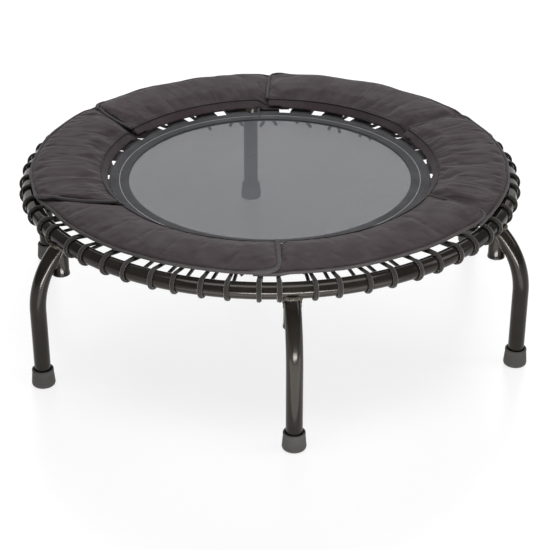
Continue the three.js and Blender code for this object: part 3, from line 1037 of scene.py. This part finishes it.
def pad_blank(index):
    """The plain sewn shape that the filling then swells."""
    bm = bmesh.new()
    verts = [bm.verts.new((share, 0, height)) for share, height in PAD_OUTLINE]
    face = bm.faces.new(verts)
    steps = 56
    turns = [1 - (1 - step / steps) ** 1.7 for step in range(steps + 1)]
    for step in range(steps):
        made = bmesh.ops.extrude_face_region(bm, geom=[face])["geom"]
        moved = [g for g in made if isinstance(g, bmesh.types.BMVert)]
        bmesh.ops.translate(bm, vec=(0, turns[step + 1] - turns[step], 0), verts=moved)
        if step:
            bmesh.ops.delete(bm, geom=[face], context="FACES_ONLY")
        face = next(g for g in made if isinstance(g, bmesh.types.BMFace))
    for vert in bm.verts:
        share, turn, height = vert.co
        radius, angle, begin_gap, end_gap = pad_place(index, share, turn)
        vert.co = polar(radius, angle, RING_Z + pad_height(index, share, height, begin_gap, end_gap))
    bmesh.ops.recalc_face_normals(bm, faces=bm.faces)
    name = f"pad_blank_{index + 1}"
    return placed(name, mesh_from(bm, name))


def apply_modifiers(thing):
    """Gives an object its mesh as its modifiers leave it."""
    graph = bpy.context.evaluated_depsgraph_get()
    mesh = bpy.data.meshes.new_from_object(thing.evaluated_get(graph))
    thing.modifiers.clear()
    thing.data = mesh


def remeshed(blank, size):
    """The same shape in even square cells."""
    cells = blank.modifiers.new("cells", "REMESH")
    cells.mode = "VOXEL"
    cells.voxel_size = size
    apply_modifiers(blank)
    return blank


def hold_edges(blank, index):
    """Holds the sewn edges still: the outer rim and the two ends."""
    held = blank.vertex_groups.new(name="sewn")
    for vert in blank.data.vertices:
        angle = math.degrees(math.atan2(vert.co.x, -vert.co.y))
        radius = math.hypot(vert.co.x, vert.co.y)
        share = (radius - PAD_INNER_R) / (PAD_OUTER_R[index][1] - PAD_INNER_R)
        low, high = (pad_place(index, share, turn)[1] for turn in (0.0, 1.0))
        near = math.radians(min(math.remainder(angle - low, 360), math.remainder(high - angle, 360)))
        lower_rim = share < 0.14 and vert.co.z < RING_Z + 0.0125
        if share > 0.965 or share < 0.02 or near * radius < 0.004 or lower_rim:
            held.add([vert.index], 0.92, "REPLACE")


def swell(blanks):
    """Fills the pads: their cloth is cut a little large and pressed out from inside."""
    scene = bpy.context.scene
    rest = []
    for blank, creases in zip(blanks, PAD_CREASES):
        rest.append([vert.co.copy() for vert in blank.data.vertices])
        cloth = blank.modifiers.new("filling", "CLOTH")
        for key, value in PAD_FILLING.items():
            setattr(cloth.settings, key, value)
        cloth.settings.shrink_min = -0.010 - 0.026 * creases
        cloth.settings.effector_weights.gravity = 0.0
        cloth.point_cache.frame_start = 1
        cloth.point_cache.frame_end = PAD_FRAMES
    for number in range(1, PAD_FRAMES + 1):
        scene.frame_set(number)
    for blank, before in zip(blanks, rest):
        apply_modifiers(blank)
        for vert, start in zip(blank.data.vertices, before):
            move = vert.co - start
            if move.length > PAD_SWELL:
                vert.co = start + move.normalized() * PAD_SWELL
    scene.frame_set(1)


def crease_pads(blank, index):
    """Fans of soft creases from the inner edge, and a slight wave along the outer edge."""
    for vert in blank.data.vertices:
        co = vert.co
        radius = math.hypot(co.x, co.y)
        angle = math.degrees(math.atan2(co.x, -co.y))
        share = min(1.0, max(0.0, (radius - PAD_INNER_R) / (PAD_OUTER_R[index][1] - PAD_INNER_R)))
        depth = PAD_CREASES[index] * math.sin(math.pi * min(1.0, share * 1.05 + 0.04)) ** 0.8
        fan = noise.noise(Vector((angle * 0.34, share * 0.9, index * 7.3)))
        sharp = 1 - min(1.0, abs(fan) * 5.5)
        broad = noise.noise(Vector((co.x * 9, co.y * 9, 3.1 + index)))
        top = 1.0 if co.z > RING_Z + PAD_MIDDLE - 0.004 else 0.3
        vert.co.z += top * (depth * (0.0028 * fan - 0.0022 * sharp**2) + 0.0014 * broad)
        push = edge_wave(index, angle, share)
        vert.co.x += co.x / radius * push
        vert.co.y += co.y / radius * push


def pad_section(blank, index):
    """A finished section of the cover."""
    number = index + 1
    finer = blank.modifiers.new("finer", "SUBSURF")
    finer.levels = finer.render_levels = 1
    apply_modifiers(blank)
    crease_pads(blank, index)
    mesh = blank.data
    for face in mesh.polygons:
        face.use_smooth = True
    made = piece_of(mesh, f"pad_{number}_cover", PAD, "frame", f"pad_section_{number}")
    bpy.data.objects.remove(blank)


def pad_piping(index):
    """A rolled hem along a section's outer rim and its upper end."""
    steps = 76
    points = [(1.0, (i + 0.5) / steps) for i in range(steps - 3)]
    points += [(1.0, 1 - gap / steps) for gap in (2.4, 1.4, 0.7)] + [(0.99, 1 - 0.25 / steps)]
    points += [(0.97 - 0.95 * i / 9, 1.0) for i in range(10)]
    line = []
    for share, turn in points:
        radius, angle, begin_gap, end_gap = pad_place(index, share, turn)
        height = pad_height(index, share, PAD_MIDDLE, begin_gap, end_gap)
        near_end = 1 - min(1.0, end_gap / PAD_CORNER)
        radius += edge_wave(index, angle, share) + PIPING_OUTSET * (1 - near_end)
        angle += math.degrees(PAD_HEM[index] * 0.75 * near_end / radius)
        line.append(polar(radius, angle, RING_Z + height))
    found = smooth_line(line, 0.006)
    sizes = []
    for place, point in found:
        end = ease((place - steps + 8) / 6)
        size = (PIPING_R + (PAD_HEM[index] - PIPING_R) * end) * (1 + 0.12 * noise.noise(point * 60))
        sizes.append((size, size * 1.1))
    bm = bmesh.new()
    sweep(bm, round_outline(8), along_line([p for _, p in found], Vector((0, 0, 1)), sizes))
    # The piping's lighter cloth is partly a painted highlight along the section's outer rim.
    finished(bm, f"pad_{index + 1}_piping", PIPING_CLOTH_WITH_PAINTED_HIGHLIGHT, "frame")


def pad_binding(index):
    """A dark tape sewn along a section's inner top edge."""
    line, steps = [], 60
    for i in range(8, steps + 1):
        radius, angle, begin_gap, end_gap = pad_place(index, BINDING_SHARE, i / steps)
        height = pad_height(index, BINDING_SHARE, BINDING_HEIGHT, begin_gap, end_gap)
        line.append(polar(radius, angle, RING_Z + height))
    found = [point for _, point in smooth_line(line, 0.007)]
    bm = bmesh.new()
    places = along_line(found, Vector((0, 0, 1)), [(BINDING_R, BINDING_R * 0.8)] * len(found))
    sweep(bm, round_outline(8), places)
    finished(bm, f"pad_{index + 1}_binding", BINDING, "frame")


def padded_cover():
    """All six sections with their piping and their binding."""
    blanks = []
    for index in range(len(PAD_SEAMS)):
        blank = remeshed(pad_blank(index), PAD_CELL)
        hold_edges(blank, index)
        blanks.append(blank)
    swell(blanks)
    for index, blank in enumerate(blanks):
        pad_section(blank, index)
        pad_piping(index)
        pad_binding(index)


# ---- studio


def studio_floor():
    """A plain pale floor that ends under the white wall."""
    half, back, drop = 30.0, 3.15, 0.0005
    bm = bmesh.new()
    place = Matrix.Translation((0, back - half, -drop))
    bmesh.ops.create_grid(bm, x_segments=1, y_segments=1, size=half, matrix=place)
    floor = placed("studio_floor", mesh_from(bm, "studio_floor"))
    material, _, base = shader("floor_white", 0.30, specular=0.35)
    base.inputs["Base Color"].default_value = (0.27, 0.27, 0.272, 1)
    base.inputs["Emission Color"].default_value = (1, 1, 1, 1)
    base.inputs["Emission Strength"].default_value = 0.78
    floor.data.materials.append(material)


def softbox(name, place, target, size, power):
    """An area light that faces a point."""
    data = bpy.data.lights.new(name, "AREA")
    data.shape = "RECTANGLE"
    data.size, data.size_y = size
    data.energy = power
    made = placed(name, data)
    made.location = place
    made.rotation_euler = (Vector(target) - Vector(place)).to_track_quat("-Z", "Y").to_euler()
    made.visible_camera = False


def studio_light():
    """A bright overhead box, a white wall behind, weak side lights and a pale surround."""
    middle = (0, 0, 0.25)
    softbox("overhead", (0.0, -0.7, 2.6), middle, (2.6, 1.1), 36)
    softbox("back", (0.4, 2.4, 2.2), middle, (2.2, 0.9), 12)
    softbox("back_wall", (0.0, 3.2, 1.2), (0.0, 0.0, 1.2), (7.0, 2.4), 54)
    softbox("right", (2.4, -0.6, 1.6), middle, (0.7, 1.3), 8)
    softbox("low_front_card", (0.05, -1.875, 0.012), (0.05, -1.825, 1.0), (1.25, 1.65), 205)
    softbox("low_front_fill", (0.05, -0.85, 0.012), (0.05, -0.80, 1.0), (1.25, 0.40), 3.3)
    world = bpy.data.worlds.new("surround")
    world.use_nodes = True
    world.node_tree.nodes["Background"].inputs[0].default_value = (1, 1, 1, 1)
    seen = add(world.node_tree, "ShaderNodeLightPath").outputs["Is Camera Ray"]
    strength = maths(world.node_tree, "MAXIMUM", seen, 0.22)
    world.node_tree.links.new(strength, world.node_tree.nodes["Background"].inputs[1])
    bpy.context.scene.world = world
    bpy.context.scene.view_settings.view_transform = "Standard"


def camera():
    """A long lens, in front and a little to the left, that looks 28 degrees down."""
    data = bpy.data.cameras.new("viewpoint")
    data.sensor_width = 36
    data.lens = CAMERA_LENS
    data.clip_end = 100
    made = placed("viewpoint", data)
    made.location = CAMERA_PLACE
    made.rotation_euler = Vector(CAMERA_AHEAD).to_track_quat("-Z", "Y").to_euler()
    bpy.context.scene.camera = made


camera()
studio_floor()
studio_light()
ring_tube()
for leg in range(1, LEG_COUNT + 1):
    arched_leg(leg)
    leg_welds(leg)
    rubber_boot(leg)
    flanged_bolt(leg)
border_band()
mesh_cloth()
for tab in range(1, TAB_COUNT + 1):
    web_tab(tab)
stitching()
for cord in range(1, TAB_COUNT + 1):
    elastic_cord(cord)
padded_cover()
